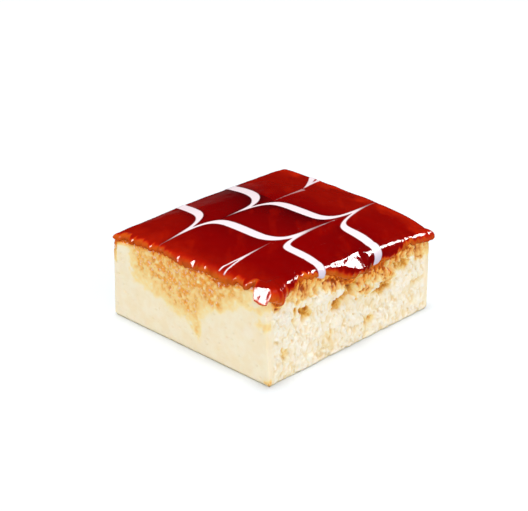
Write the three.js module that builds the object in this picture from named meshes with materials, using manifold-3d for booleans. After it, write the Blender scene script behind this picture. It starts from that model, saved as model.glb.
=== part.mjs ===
// A square slice of milk-soaked sponge cake with a caramel glaze that wraps over its rim, and white
// icing lines feathered into the glaze. Millimetres, +Z up. Seen from -Y is the smooth cut face, and
// seen from +X the torn one.
import * as THREE from 'three';
import { mergeVertices } from 'three/addons/utils/BufferGeometryUtils.js';
import Module from 'manifold-3d';

// ---- driving dimensions -------------------------------------------------------------------------
const BASE = { x: 76.7, y: 81.8, corner: 1.2 };
// The glazed top leans a little past the base, its four corners stand at different heights, the front
// left one is drawn out into a tip, and the last few millimetres of two of them sag outwards.
const TOP = { x: 74.6, y: 86.6, shiftX: 1.2, shiftY: 0.8 };
const CORNER_HEIGHT = { frontLeft: 32.3, frontRight: 33.7, backRight: 32.0, backLeft: 37.7 };
const DOME = 4.1;
const TIP = { x: -1.3, y: -0.2 };
const SAGS = [
  { cornerX: -1, cornerY: -1, x: -1.2, y: -0.3, z: -0.8 },
  { cornerX: 1, cornerY: 1, x: 1.0, y: 0, z: -2.0 },
];
const SAG_POWER = 10;
// The top also falls off towards its right edge: how far, at places on y.
const RIGHT_FALL = [
  [-44, 0], [-26, 0], [-16, 0.5], [-8, 1.0], [-1, 2.0], [6, 1.7], [14, 1.3], [32, 1.3], [38, 0.3], [44, 0],
];
const RIGHT_FALL_POWER = 14;
const CORNER_SHARPNESS = 0.8;
const RIM_RADIUS = 2.4;
const GLAZE = { gap: 0.4, top: 1.4, rim: 1.1, edge: 0.5 };

// ---- mesh resolution ----------------------------------------------------------------------------
// Sponge and glaze share the stops round the slice, so that their facets stay a gap apart.
const STEPS = { x: 26, y: 28, corner: 3 };
const SPONGE_LEVELS = { wall: 12, shoulder: 3 };
const GLAZE_LEVELS = { skirt: 5, innerSkirt: 5 };
const OUTER_RINGS = [1, 0.95, 0.86, 0.7, 0.48, 0.24, 0];
const INNER_RINGS = [1, 0.95, 0.86, 0.7, 0.45, 0.2, 0];

// ---- the crumb ----------------------------------------------------------------------------------
// Torn faces: clefts under a ledge of crumb. along is measured from the middle of the face.
const TORN_RIGHT = [
  { along: -23, z: 19.5, halfWidth: 4.5, halfHeight: 3.0, depth: 1.6 },
  { along: -5, z: 20.0, halfWidth: 6.5, halfHeight: 2.6, depth: 2.3 },
  { along: 14, z: 15.8, halfWidth: 6.5, halfHeight: 2.2, depth: 2.0 },
  { along: 26, z: 20.5, halfWidth: 5.0, halfHeight: 2.2, depth: 1.6 },
  { along: -32, z: 8.5, halfWidth: 3.0, halfHeight: 4.0, depth: 0.9 },
  { along: -12, z: 8.0, halfWidth: 3.0, halfHeight: 5.0, depth: 0.8 },
  { along: 8, z: 7.0, halfWidth: 3.5, halfHeight: 4.0, depth: 0.9 },
  { along: -14, z: 24.0, halfWidth: 6.0, halfHeight: 3.0, depth: -1.1 },
  { along: 6, z: 20.5, halfWidth: 4.5, halfHeight: 2.4, depth: -1.0 },
  { along: 20, z: 19.5, halfWidth: 4.0, halfHeight: 2.4, depth: -0.8 },
];
const TORN_LEFT = [
  { along: -20, z: 21.0, halfWidth: 6.0, halfHeight: 2.6, depth: 1.9 },
  { along: 4, z: 17.0, halfWidth: 6.0, halfHeight: 2.4, depth: 1.7 },
  { along: 24, z: 23.0, halfWidth: 6.5, halfHeight: 2.6, depth: 2.0 },
  { along: -8, z: 24.5, halfWidth: 5.0, halfHeight: 2.6, depth: -0.9 },
  { along: 14, z: 9.0, halfWidth: 3.5, halfHeight: 4.5, depth: 0.9 },
];
const CRUMB_RELIEF = { torn: 0.75, cut: 0.22, across: 4.6, up: 7.5, seed: 11 };

// ---- the glaze's lower edge ---------------------------------------------------------------------
// How far the glaze runs past the flat of the top, over the rounded rim and down each side. Each run
// is { at, halfWidth, drop }, with at counted along the side from its first corner.
const EDGE = {
  front: {
    reach: 2.9,
    runs: [
      { at: 33, halfWidth: 9.0, drop: 1.6 },
      { at: 50, halfWidth: 6.0, drop: 2.0 },
      { at: 60, halfWidth: 4.0, drop: -0.9 },
      { at: 66, halfWidth: 3.2, drop: 2.4 },
    ],
  },
  right: {
    reach: 4.2,
    runs: [
      { at: 4.6, halfWidth: 3.8, drop: 4.2 },
      { at: 14, halfWidth: 6.0, drop: -0.7 },
      { at: 30, halfWidth: 5.0, drop: 1.0 },
      { at: 41.8, halfWidth: 10.0, drop: 4.2 },
      { at: 56.3, halfWidth: 5.0, drop: 2.2 },
      { at: 75, halfWidth: 5.0, drop: 1.4 },
    ],
  },
  back: {
    reach: 3.6,
    runs: [
      { at: 10, halfWidth: 5.0, drop: 2.2 },
      { at: 29, halfWidth: 4.0, drop: 1.2 },
      { at: 46, halfWidth: 6.5, drop: 3.4 },
      { at: 62, halfWidth: 4.5, drop: 1.6 },
    ],
  },
  left: {
    reach: 3.4,
    runs: [
      { at: 8, halfWidth: 5.0, drop: 2.4 },
      { at: 24, halfWidth: 5.5, drop: 3.2 },
      { at: 43, halfWidth: 4.5, drop: 1.0 },
      { at: 60, halfWidth: 6.0, drop: 2.9 },
    ],
  },
};

// ---- the feathered icing ------------------------------------------------------------------------
// Each line is piped along X, at the heights on Y that rest gives, and a skewer is then drawn across
// all of them, each time the other way. A pull at x bends the line by depth along its slant, falling
// off over left and right of it, pinches it thinner, and draws a thread out of the bend.
const ICING = {
  rise: 0.35,
  threadHalfWidth: 0.45,
  pinch: 0.3,
  pinchReach: 5,
  station: 3.5,
  besidePull: [0, 0.5, 1.5, 3],
};
const ICING_LINES = [
  {
    width: 12,
    rest: [[-36, 56], [0, 56]],
    pulls: [{ x: -22.2, slant: -0.42, depth: -24, left: 4.2, right: 2.0, thread: -1 }],
  },
  {
    width: 4.4,
    rest: [[-40, 12.8], [-10, 9.4], [-6, 7.3], [14, 7.9], [21, 9.2], [44, 14.4]],
    pulls: [
      { x: -8.3, slant: 0.03, depth: -11.5, left: 5.0, right: 1.65, thread: -9 },
      { x: 20.5, slant: -0.22, depth: 15, left: 2.3, right: 1.15, thread: 16 },
      { x: 42.5, slant: 0, depth: -7, left: 3.5, right: 1, thread: 0 },
    ],
  },
  {
    width: 3.8,
    rest: [[-40, -11.2], [-24, -14.6], [-9, -16.5], [12, -17.8], [20, -17.2], [44, -14.6]],
    pulls: [
      { x: -12.8, slant: 0, depth: -11, left: 3.2, right: 2.2, thread: -12 },
      { x: 19.9, slant: -0.05, depth: 8.3, left: 2.9, right: 0.95, thread: 21 },
      { x: 41.5, slant: 0, depth: -8, left: 2.4, right: 1, thread: 0 },
    ],
  },
  {
    width: 1.4,
    rest: [[8, -45], [29, -45]],
    pulls: [{ x: 17.8, slant: -0.03, depth: 13, left: 1.1, right: 1.5, thread: 13 }],
  },
];

// ---- outline of the slice -----------------------------------------------------------------------
const RIM = GLAZE.gap + GLAZE.top + RIM_RADIUS;
const FLAT = { x: TOP.x / 2 - RIM, y: TOP.y / 2 - RIM };

// One stop for each vertex round the slice: the corner centre it hangs from, as a share of the half
// sizes, its outward direction, its side, and how far along that side it is.
function ringStops() {
  const corners = [
    { x: -1, y: -1, side: 'front', steps: STEPS.x },
    { x: 1, y: -1, side: 'right', steps: STEPS.y },
    { x: 1, y: 1, side: 'back', steps: STEPS.x },
    { x: -1, y: 1, side: 'left', steps: STEPS.y },
  ];
  const stops = [];
  corners.forEach((corner, index) => {
    const next = corners[(index + 1) % corners.length];
    const heading = (index - 1) * (Math.PI / 2);
    for (let step = 0; step < corner.steps; step += 1) {
      const share = step / corner.steps;
      stops.push({
        x: THREE.MathUtils.lerp(corner.x, next.x, share),
        y: THREE.MathUtils.lerp(corner.y, next.y, share),
        nx: Math.cos(heading),
        ny: Math.sin(heading),
        side: corner.side,
        share,
      });
    }
    for (let step = 0; step < STEPS.corner; step += 1) {
      const turn = heading + ((Math.PI / 2) * step) / STEPS.corner;
      const push = Math.max(Math.abs(Math.cos(turn)), Math.abs(Math.sin(turn))) ** -CORNER_SHARPNESS;
      stops.push({
        x: next.x,
        y: next.y,
        nx: Math.cos(turn) * push,
        ny: Math.sin(turn) * push,
        side: corner.side,
        share: 1,
      });
    }
  });
  return stops;
}

// Height of the glaze's outer face over the middle of the slice, before the rim rounds it off.
function glazeHeight(x, y) {
  const a = (x - TOP.shiftX) / (TOP.x / 2);
  const b = (y - TOP.shiftY) / (TOP.y / 2);
  const front = THREE.MathUtils.lerp(CORNER_HEIGHT.frontLeft, CORNER_HEIGHT.frontRight, (a + 1) / 2);
  const back = THREE.MathUtils.lerp(CORNER_HEIGHT.backLeft, CORNER_HEIGHT.backRight, (a + 1) / 2);
  return THREE.MathUtils.lerp(front, back, (b + 1) / 2) + DOME * (1 - a * a) * (1 - b * b);
}

// The value at a place between knots, each [place, value].
function between(knots, at) {
  const next = knots.findIndex((knot) => knot[0] > at);
  const [place0, value0] = knots[next < 0 ? knots.length - 2 : Math.max(next - 1, 0)];
  const [place1, value1] = knots[next < 0 ? knots.length - 1 : Math.max(next, 1)];
  return THREE.MathUtils.lerp(value0, value1, (at - place0) / (place1 - place0));
}

// A point out from the sponge by offset. inward goes from 1 at the rim to 0 at the middle of the top.
function topPoint(stop, inward, offset) {
  const nearTip = ((1 - stop.x * inward) * (1 - stop.y * inward)) / 4;
  const x = TOP.shiftX + stop.x * FLAT.x * inward + TIP.x * nearTip ** 2;
  const y = TOP.shiftY + stop.y * FLAT.y * inward + TIP.y * nearTip ** 2;
  const point = new THREE.Vector3(x, y, glazeHeight(x, y) - GLAZE.gap - GLAZE.top + offset);
  SAGS.forEach((sag) => {
    const near = ((1 + sag.cornerX * stop.x * inward) * (1 + sag.cornerY * stop.y * inward)) / 4;
    point.addScaledVector(new THREE.Vector3(sag.x, sag.y, sag.z), near ** SAG_POWER);
  });
  point.z -= between(RIGHT_FALL, y) * ((1 + stop.x * inward) / 2) ** RIGHT_FALL_POWER;
  return point;
}

function shoulderPoint(stop, turn, offset) {
  const radius = RIM_RADIUS + offset;
  const rim = topPoint(stop, 1, 0);
  const x = rim.x + stop.nx * radius * Math.sin(turn);
  const y = rim.y + stop.ny * radius * Math.sin(turn);
  return new THREE.Vector3(x, y, rim.z - RIM_RADIUS + radius * Math.cos(turn));
}

function wallPoint(stop, down, offset) {
  const head = shoulderPoint(stop, Math.PI / 2, offset);
  const footX = stop.x * (BASE.x / 2 - BASE.corner) + stop.nx * (BASE.corner + offset);
  const footY = stop.y * (BASE.y / 2 - BASE.corner) + stop.ny * (BASE.corner + offset);
  return new THREE.Vector3(
    THREE.MathUtils.lerp(head.x, footX, down),
    THREE.MathUtils.lerp(head.y, footY, down),
    THREE.MathUtils.lerp(head.z, 0, down),
  );
}

// ---- crumb relief -------------------------------------------------------------------------------
function latticeValue(column, row, seed) {
  const value = Math.sin(column * 127.1 + row * 311.7 + seed * 74.7) * 43758.5453;
  return (value - Math.floor(value)) * 2 - 1;
}

function smoothNoise(across, up, seed) {
  const column = Math.floor(across);
  const row = Math.floor(up);
  const s = THREE.MathUtils.smoothstep(across - column, 0, 1);
  const t = THREE.MathUtils.smoothstep(up - row, 0, 1);
  const inRow = (at) => {
    const left = latticeValue(column, at, seed);
    const right = latticeValue(column + 1, at, seed);
    return THREE.MathUtils.lerp(left, right, s);
  };
  return THREE.MathUtils.lerp(inRow(row), inRow(row + 1), t);
}

function dentDepth(dents, along, z) {
  return dents.reduce((sum, dent) => {
    const a = (along - dent.along) / dent.halfWidth;
    const b = (z - dent.z) / dent.halfHeight;
    return sum + dent.depth * Math.exp(-(a * a + b * b));
  }, 0);
}

// How far the crumb stands out of the plain wall. It fades out at the foot, which lies flat, and
// under the glaze, which it must not touch.
function crumbRelief(stop, point, wallHeight) {
  const glazed = Math.max(glazeReach(stop) - (RIM_RADIUS + GLAZE.gap) * (Math.PI / 2), 1);
  const torn = stop.side === 'right' || stop.side === 'left';
  const along = torn ? point.y : point.x;
  const grain = smoothNoise(along / CRUMB_RELIEF.across, point.z / CRUMB_RELIEF.up, CRUMB_RELIEF.seed);
  const size = torn ? CRUMB_RELIEF.torn : CRUMB_RELIEF.cut;
  const dents = { right: TORN_RIGHT, left: TORN_LEFT, front: [], back: [] }[stop.side];
  const foot = THREE.MathUtils.smoothstep(point.z, 0, 3);
  const underGlaze = THREE.MathUtils.smoothstep(wallHeight - point.z - glazed, 1, 4);
  const corner = THREE.MathUtils.smoothstep(Math.min(stop.share, 1 - stop.share), 0, 0.06);
  return (grain * size * foot * corner - dentDepth(dents, along, point.z) * corner) * underGlaze;
}

// ---- closed skins -------------------------------------------------------------------------------
// A lathe gives the closed net of vertices, one column for each stop and one row for each level, and
// place(stop, level) sets where each of them goes.
function skin(stops, levelCount, place) {
  const profile = [];
  for (let level = 0; level < levelCount; level += 1) {
    const angle = (Math.PI * level) / (levelCount - 1);
    const onAxis = level === 0 || level === levelCount - 1;
    profile.push(new THREE.Vector2(onAxis ? 0 : Math.sin(angle), -Math.cos(angle)));
  }
  const geometry = new THREE.LatheGeometry(profile, stops.length);
  const position = geometry.getAttribute('position');
  for (let column = 0; column <= stops.length; column += 1) {
    for (let level = 0; level < levelCount; level += 1) {
      const point = place(stops[column % stops.length], level);
      position.setXYZ(column * levelCount + level, point.x, point.y, point.z);
    }
  }
  geometry.deleteAttribute('normal');
  geometry.deleteAttribute('uv');
  return mergeVertices(geometry, 1e-3);
}

// ---- sponge -------------------------------------------------------------------------------------
function spongeGeometry() {
  const wallStart = 1;
  const shoulderStart = wallStart + SPONGE_LEVELS.wall + 1;
  const topStart = shoulderStart + SPONGE_LEVELS.shoulder - 1;
  const levelCount = topStart + INNER_RINGS.length;
  const place = (stop, level) => {
    if (level === 0) {
      return new THREE.Vector3(0, 0, 0);
    }
    if (level < shoulderStart) {
      const point = wallPoint(stop, 1 - (level - wallStart) / SPONGE_LEVELS.wall, 0);
      const wallHeight = wallPoint(stop, 0, 0).z;
      const out = crumbRelief(stop, point, wallHeight);
      return point.add(new THREE.Vector3(stop.nx * out, stop.ny * out, 0));
    }
    if (level < topStart) {
      const turn = (Math.PI / 2) * (1 - (level - shoulderStart + 1) / SPONGE_LEVELS.shoulder);
      return shoulderPoint(stop, turn, 0);
    }
    return topPoint(stop, INNER_RINGS[level - topStart], 0);
  };
  return skin(ringStops(), levelCount, place);
}

// ---- glaze --------------------------------------------------------------------------------------
// How far the glaze runs past the flat top at a stop, over the rim and down the side.
function glazeReach(stop) {
  const order = ['front', 'right', 'back', 'left'];
  const lengths = order.map((side) => 2 * (side === 'front' || side === 'back' ? FLAT.x : FLAT.y));
  const total = lengths.reduce((sum, length) => sum + length, 0);
  const starts = lengths.map((_, index) => lengths.slice(0, index).reduce((sum, length) => sum + length, 0));
  const here = starts[order.indexOf(stop.side)] + stop.share * lengths[order.indexOf(stop.side)];
  const fromHere = (place) => THREE.MathUtils.euclideanModulo(here - place + total / 2, total) - total / 2;
  let reach = 0;
  let weight = 0;
  let drop = 0;
  order.forEach((side, index) => {
    const away = Math.abs(fromHere(starts[index] + lengths[index] / 2));
    const share = 1 - THREE.MathUtils.smoothstep(away - lengths[index] / 2, -4, 4);
    reach += EDGE[side].reach * share;
    weight += share;
    EDGE[side].runs.forEach((run) => {
      drop += run.drop * Math.exp(-((fromHere(starts[index] + run.at) / run.halfWidth) ** 2));
    });
  });
  return reach / weight + drop;
}

function pastRim(stop, distance, offset) {
  const quarter = (RIM_RADIUS + GLAZE.gap) * (Math.PI / 2);
  if (distance <= quarter) {
    return shoulderPoint(stop, (Math.PI / 2) * (distance / quarter), offset);
  }
  const wallHeight = wallPoint(stop, 0, 0).z;
  return wallPoint(stop, (distance - quarter) / wallHeight, offset);
}

// A closed shell over the sponge, from inner out to the glaze's own face raised by rise: its rows go
// from the middle of the inner face out to the lower edge, and back up over the outer face.
function glazeShell(inner, rise) {
  const innerSkirtStart = INNER_RINGS.length;
  const skirtStart = innerSkirtStart + GLAZE_LEVELS.innerSkirt;
  const topStart = skirtStart + GLAZE_LEVELS.skirt;
  const levelCount = topStart + OUTER_RINGS.length;
  const place = (stop, level) => {
    if (level < innerSkirtStart) {
      return topPoint(stop, INNER_RINGS[innerSkirtStart - 1 - level], inner);
    }
    if (level < skirtStart) {
      const share = (level - innerSkirtStart + 1) / GLAZE_LEVELS.innerSkirt;
      return pastRim(stop, glazeReach(stop) * share, inner);
    }
    if (level < topStart) {
      const share = 1 - (level - skirtStart) / GLAZE_LEVELS.skirt;
      const thickness = share < 0.6
        ? THREE.MathUtils.lerp(GLAZE.top, GLAZE.rim, share / 0.6)
        : THREE.MathUtils.lerp(GLAZE.rim, GLAZE.edge, (share - 0.6) / 0.4);
      return pastRim(stop, glazeReach(stop) * share, GLAZE.gap + thickness + rise);
    }
    return topPoint(stop, OUTER_RINGS[level - topStart], GLAZE.gap + GLAZE.top + rise);
  };
  return skin(ringStops(), levelCount, place);
}

// ---- icing --------------------------------------------------------------------------------------
// A point on a line's upper edge (edge 1) or lower edge (edge -1), once the skewer has passed.
function featheredPoint(line, x, edge) {
  const rest = between(line.rest, x);
  const away = (pull) => Math.abs(x - pull.x);
  const nearest = line.pulls.reduce((best, pull) => (away(pull) < away(best) ? pull : best));
  const pinched = line.width * (1 - ICING.pinch * Math.exp(-away(nearest) / ICING.pinchReach));
  const y = line.pulls.reduce((sum, pull) => {
    const bend = pull.depth * Math.exp(-away(pull) / (x < pull.x ? pull.left : pull.right));
    const drawn = edge * pull.depth > 0 ? pull.thread * Math.exp(-away(pull) / ICING.threadHalfWidth) : 0;
    return sum + bend + drawn;
  }, rest + (edge * pinched) / 2);
  return new THREE.Vector2(x + nearest.slant * (y - rest), y);
}

// The stations along a line: even steps, and closer ones beside each pull.
function lineStations(line) {
  const from = line.rest[0][0];
  const to = line.rest[line.rest.length - 1][0];
  const stations = [];
  for (let x = from; x <= to; x += ICING.station) {
    stations.push(x);
  }
  line.pulls.forEach((pull) => {
    ICING.besidePull.forEach((away) => stations.push(pull.x - away, pull.x + away));
  });
  const inside = stations.filter((x) => x >= from && x <= to).sort((a, b) => a - b);
  return inside.filter((x, index) => index === 0 || x - inside[index - 1] > ICING.besidePull[1] * 0.8);
}

function icingPrism(line) {
  const stations = lineStations(line);
  const lower = stations.map((x) => featheredPoint(line, x, -1));
  const upper = stations.map((x) => featheredPoint(line, x, 1)).reverse();
  const below = Math.min(...Object.values(CORNER_HEIGHT)) / 2;
  const outline = new THREE.Shape([...lower, ...upper]);
  const geometry = new THREE.ExtrudeGeometry(outline, { depth: 2 * below, bevelEnabled: false });
  geometry.translate(0, 0, below);
  geometry.deleteAttribute('normal');
  geometry.deleteAttribute('uv');
  return mergeVertices(geometry, 1e-3);
}

// ---- solids -------------------------------------------------------------------------------------
const wasm = await Module();
wasm.setup();

function toSolid(geometry) {
  const vertProperties = new Float32Array(geometry.getAttribute('position').array);
  const triVerts = new Uint32Array(geometry.getIndex().array);
  return new wasm.Manifold(new wasm.Mesh({ numProp: 3, vertProperties, triVerts }));
}

function toGeometry(solid) {
  const mesh = solid.getMesh();
  const geometry = new THREE.BufferGeometry();
  geometry.setAttribute('position', new THREE.BufferAttribute(new Float32Array(mesh.vertProperties), 3));
  geometry.setIndex(new THREE.BufferAttribute(new Uint32Array(mesh.triVerts), 1));
  return mergeVertices(geometry, 1e-3);
}

function glazeGeometry() {
  const glaze = toSolid(glazeShell(GLAZE.gap, 0));
  const icingLayer = toSolid(glazeShell(GLAZE.gap + GLAZE.edge / 2, ICING.rise));
  return ICING_LINES.reduce((whole, line) => {
    const icing = toSolid(icingPrism(line)).intersect(icingLayer);
    return whole.add(icing);
  }, glaze);
}

const spongeMaterial = new THREE.MeshStandardMaterial({ color: 0xf3e2c0, roughness: 0.75, metalness: 0 });
const glazeMaterial = new THREE.MeshStandardMaterial({ color: 0x8a0f05, roughness: 0.15, metalness: 0 });

function namedMesh(name, geometry, material) {
  const mesh = new THREE.Mesh(geometry, material);
  mesh.name = name;
  geometry.computeVertexNormals();
  return mesh;
}

const cake = new THREE.Group();
cake.add(namedMesh('sponge', spongeGeometry(), spongeMaterial));
cake.add(namedMesh('caramel_glaze', toGeometry(glazeGeometry()), glazeMaterial));

// The origin is the middle of the slice's box, on the surface that it rests on.
const box = new THREE.Box3().setFromObject(cake);
const centre = box.getCenter(new THREE.Vector3());
cake.position.set(-centre.x, -centre.y, -box.min.z);

export default cake;
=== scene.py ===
"""A square slice of milk-soaked sponge cake with a caramel glaze and feathered white icing.

The slice is shaped in millimetres, in the cake's own coordinates: x along the knife-cut front face,
y along the torn right face, z up. to_world() moves that into the frame, in metres.
"""

import math

import bpy
import numpy as np
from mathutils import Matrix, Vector


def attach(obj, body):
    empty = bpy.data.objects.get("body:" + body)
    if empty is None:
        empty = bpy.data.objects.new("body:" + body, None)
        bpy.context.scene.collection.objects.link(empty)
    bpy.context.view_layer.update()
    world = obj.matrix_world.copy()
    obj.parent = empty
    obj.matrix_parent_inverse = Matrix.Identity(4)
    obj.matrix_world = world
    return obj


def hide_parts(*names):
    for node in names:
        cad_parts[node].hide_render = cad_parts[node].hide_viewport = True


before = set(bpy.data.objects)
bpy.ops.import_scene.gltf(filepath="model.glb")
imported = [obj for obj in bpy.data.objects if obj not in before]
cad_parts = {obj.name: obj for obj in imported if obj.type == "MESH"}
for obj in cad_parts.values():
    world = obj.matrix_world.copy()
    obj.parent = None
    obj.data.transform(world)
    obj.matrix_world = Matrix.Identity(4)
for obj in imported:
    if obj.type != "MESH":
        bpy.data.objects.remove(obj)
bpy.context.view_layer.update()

# ---- the slice, in millimetres ----
MM = 0.001
# Added to a place in the cake's coordinates, to put the frame's origin under the slice's middle.
FRAME_SHIFT = (-0.1649, -0.9285, 0.0)
BASE = dict(x=76.7, y=81.8, corner=1.2)
TOP = dict(x=74.6, y=86.6, shift_x=1.2, shift_y=0.8)
# How high the glazed top is at its corners, and how far its middle is domed above them.
CORNER_HEIGHT = dict(front_left=32.3, front_right=33.7, back_right=32.0, back_left=37.7)
DOME = 4.1
# How far the front left tip of the top is drawn out, on x and y.
TIP = (-1.3, -0.2)
# The last few millimetres of two corners of the top sag outwards: corner, then how far on x, y, z.
SAGS = [((-1, -1), (-1.2, -0.3, -0.8)), ((1, 1), (0.4, 0.0, -2.0))]
SAG_POWER = 10
# The top also falls off towards its right edge: (y, how far).
RIGHT_FALL = [
    (-26, 0), (-16, 0.5), (-8, 1), (-1, 2), (6, 1.7), (14, 1.3), (32, 1.3), (38, 0.3), (44, 0),
]
RIGHT_FALL_POWER = 14
# From 0 for round corners of the top to 1 for square ones.
CORNER_SHARPNESS = 0.8
RIM_RADIUS = 2.4
# The gap between sponge and glaze, and the glaze's thickness on the top, over the rim and at its edge.
GLAZE = dict(gap=0.4, top=1.4, rim=1.1, edge=0.6)
# From the flat of the top to the glaze's outside, and the half sizes of that flat.
RIM = GLAZE["gap"] + GLAZE["top"] + RIM_RADIUS
FLAT = (TOP["x"] / 2 - RIM, TOP["y"] / 2 - RIM)
# From the flat of the top over the round of the shoulder to the wall.
SHOULDER_LENGTH = (RIM_RADIUS + GLAZE["gap"]) * math.pi / 2

# The sides in their order round the flat, their lengths, and where each starts on the round.
FRONT, RIGHT, BACK, LEFT = range(4)
SIDE_LENGTH = np.array([2 * FLAT[0], 2 * FLAT[1], 2 * FLAT[0], 2 * FLAT[1]])
SIDE_START = np.concatenate([[0], np.cumsum(SIDE_LENGTH)[:-1]])
ROUND = SIDE_LENGTH.sum()

# How far the glaze runs past the flat on each side, how close to a corner that changes to the next
# side's, and its runs: (side, place along it, half width, drop).
EDGE_REACH = np.array([2.9, 4.2, 3.6, 3.4])
CORNER_BLEND = 4
RUNS = [
    (FRONT, 2.6, 1.8, -1), (FRONT, 33, 9, 1.6), (FRONT, 50, 6, 2), (FRONT, 64, 2.2, -3.2),
    (RIGHT, 1.5, 5, 4.4), (RIGHT, 14, 6, -0.7), (RIGHT, 30, 5, 1),
    (RIGHT, 41.8, 10, 4.2), (RIGHT, 56.3, 5, 2.2), (RIGHT, 75, 5, 0.5),
    (BACK, 10, 5, 2.2), (BACK, 29, 4, 1.2), (BACK, 46, 6.5, 3.4), (BACK, 62, 4.5, 1.6),
    (LEFT, 8, 5, 2.4), (LEFT, 24, 5.5, 3.2), (LEFT, 43, 4.5, 1), (LEFT, 60, 6, 2.9),
]

# Clefts under ledges of crumb on the torn faces, and with a negative depth the ledges themselves:
# (place on y, z, half width, half height, depth).
TORN_RIGHT = [
    (-23.5, 20, 2.6, 3, 1.6), (-28.5, 21, 1.6, 4, 0.9), (-6.5, 18.6, 5.5, 2.8, 2.2),
    (-0.5, 21.6, 3.6, 2.2, 1.8), (2.5, 23.2, 3, 1.8, 1.2), (15, 16, 5.5, 2.6, 1.9),
    (26, 21.6, 5.5, 2.6, 1.5), (18, 23.6, 2.2, 2, 1), (8, 20.2, 3, 1.4, 0.8),
    (-32, 8.5, 3, 4, 0.6), (-12, 8, 3, 5, 0.5), (8, 7, 3.5, 4, 0.6),
    (34, 11.8, 3, 2, 0.5), (-14, 24, 6, 3, -1.1), (6, 19, 4.5, 2.4, -0.8),
    (20, 19.5, 4, 2, -0.8),
]
TORN_LEFT = [
    (-20, 21, 6, 2.6, 1.9), (4, 17, 6, 2.4, 1.7), (24, 23, 6.5, 2.6, 2),
    (-8, 24.5, 5, 2.6, -0.9), (14, 9, 3.5, 4.5, 0.9),
]

# Feathered icing: each line lies at the heights on y that rest gives, and each pull of the skewer
# bends it: (x, slant, depth, falloff on the left, falloff on the right, thread). The line is thinner
# near a pull. One with a negative width shows only its threads, and faint makes them paler.
THREAD_HALF_WIDTH = 0.55
PINCH = 0.3
PINCH_REACH = 5.0
MIDDLE_LINE = dict(
    width=4.4,
    rest=[(-40, 12.8), (-10, 9.4), (-6, 7.3), (14, 7.9), (21, 9.2), (44, 14.4)],
    pulls=[(-8.3, 0.03, -11.5, 5.0, 1.65, -9), (20.5, -0.22, 15, 2.3, 1.15, 16), (42.5, 0, -7, 3.5, 1, 0)],
)
FRONT_LINE = dict(
    width=3.8,
    rest=[(-40, -11.2), (-24, -14.6), (-9, -16.5), (12, -17.8), (20, -17.2), (44, -14.6)],
    pulls=[(-12.8, 0, -11, 3.2, 2.2, -12), (19.9, -0.05, 8.3, 2.9, 0.95, 21), (41.5, 0, -8, 2.4, 1, 0)],
)
# The first line lies past the slice's back edge and the last past its front edge, and only what the
# skewer drags of them reaches the top.
ICING_LINES = [
    dict(width=12, rest=[(-36, 56), (0, 56)], pulls=[(-22.2, -0.42, -24, 4.2, 2.0, -1)]),
    dict(width=-6.0, rest=[(-30, 28.5), (12, 28.5)], pulls=[(-9.4, -0.125, 0, 1, 1, -22.5)], faint=11),
    MIDDLE_LINE,
    FRONT_LINE,
    dict(width=1.4, rest=[(8, -45), (29, -45)], pulls=[(17.8, -0.03, 13, 1.1, 1.5, 13)]),
]
# The depth that stands for being off an icing line, and a distance that everything is nearer than.
OUTSIDE = -9.0
FAR = 1e9

# ---- the camera, in the cake's coordinates ----
CAMERA_AIM = (-12.14, 8.41, 15.635)
CAMERA_DISTANCE = 376.69
CAMERA_AZIMUTH = 44.39
CAMERA_ELEVATION = 22.07
LENS = 70
SENSOR = 36


def to_world(points):
    return (np.asarray(points, dtype=float) + np.array(FRAME_SHIFT)) * MM


# ---- numbers that vary from place to place ----
# Unevenness by name: the size of its bumps in millimetres, its seed, and where they aren't 4 and 0.5,
# how many layers it has and how much each of them fades.
NOISES = dict(
    crumb_swell=(3.5, 17), cut_swell=(7.0, 23),
    lump_bend_x=(5.0, 301, 3), lump_bend_y=(5.0, 302, 3), lump_bend_z=(5.0, 303, 3),
    soak_coarse=((4.0, 4.0, 5.0), 211), soak_fine=(1.3, 223, 2), soak_bend=(3.0, 227),
    cleft_bend_along=(5.0, 251, 4, 0.6), cleft_bend_up=(4.0, 257, 4, 0.6),
    edge_coarse=(4.0, 401), edge_fine=(1.6, 409, 2),
    top_wave=(12.0, 431, 2), rim_wave=(7.0, 439, 2), skirt_lumps=(2.6, 443, 3), thin_patches=(2.6, 457, 3),
    flat_edge=(2.2, 463, 2), blotches=((9.0, 6.0, 5.0), 471), streaks=((5.0, 16.0, 5.0), 479),
)


def smoothstep(value, low, high):
    share = np.clip((value - low) / (high - low), 0, 1)
    return share * share * (3 - 2 * share)


def scatter_number(cells, seed):
    """A number from 0 to 1 for each whole-numbered cell, the same on every run."""
    mixed = (cells.astype(np.int64) * np.array([73856093, 19349663, 83492791])).sum(-1) + seed * 2654435761
    mixed = (mixed ^ (mixed >> 13)) * 1274126177
    mixed = (mixed ^ (mixed >> 16)) & 0xFFFFFF
    return mixed / float(0xFFFFFF)


def soft_noise(points, size, seed):
    """Smooth noise from -1 to 1, with bumps of about the given size in millimetres."""
    place = np.asarray(points) / np.asarray(size, dtype=float)
    cell = np.floor(place)
    part = place - cell
    part = part * part * (3 - 2 * part)
    total = 0
    for corner in np.ndindex(2, 2, 2):
        step = np.array(corner)
        weight = np.prod(np.where(step == 1, part, 1 - part), axis=-1)
        total = total + weight * scatter_number(cell + step, seed)
    return total * 2 - 1


def layered_noise(points, size, seed, layers=4, fade=0.5):
    size = np.asarray(size, dtype=float)
    total, reach = 0, 0
    for layer in range(layers):
        total = total + soft_noise(points, size / 2 ** layer, seed + layer) * fade ** layer
        reach += fade ** layer
    return total / reach


def unevenness(name, points):
    return layered_noise(points, *NOISES[name])


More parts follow.
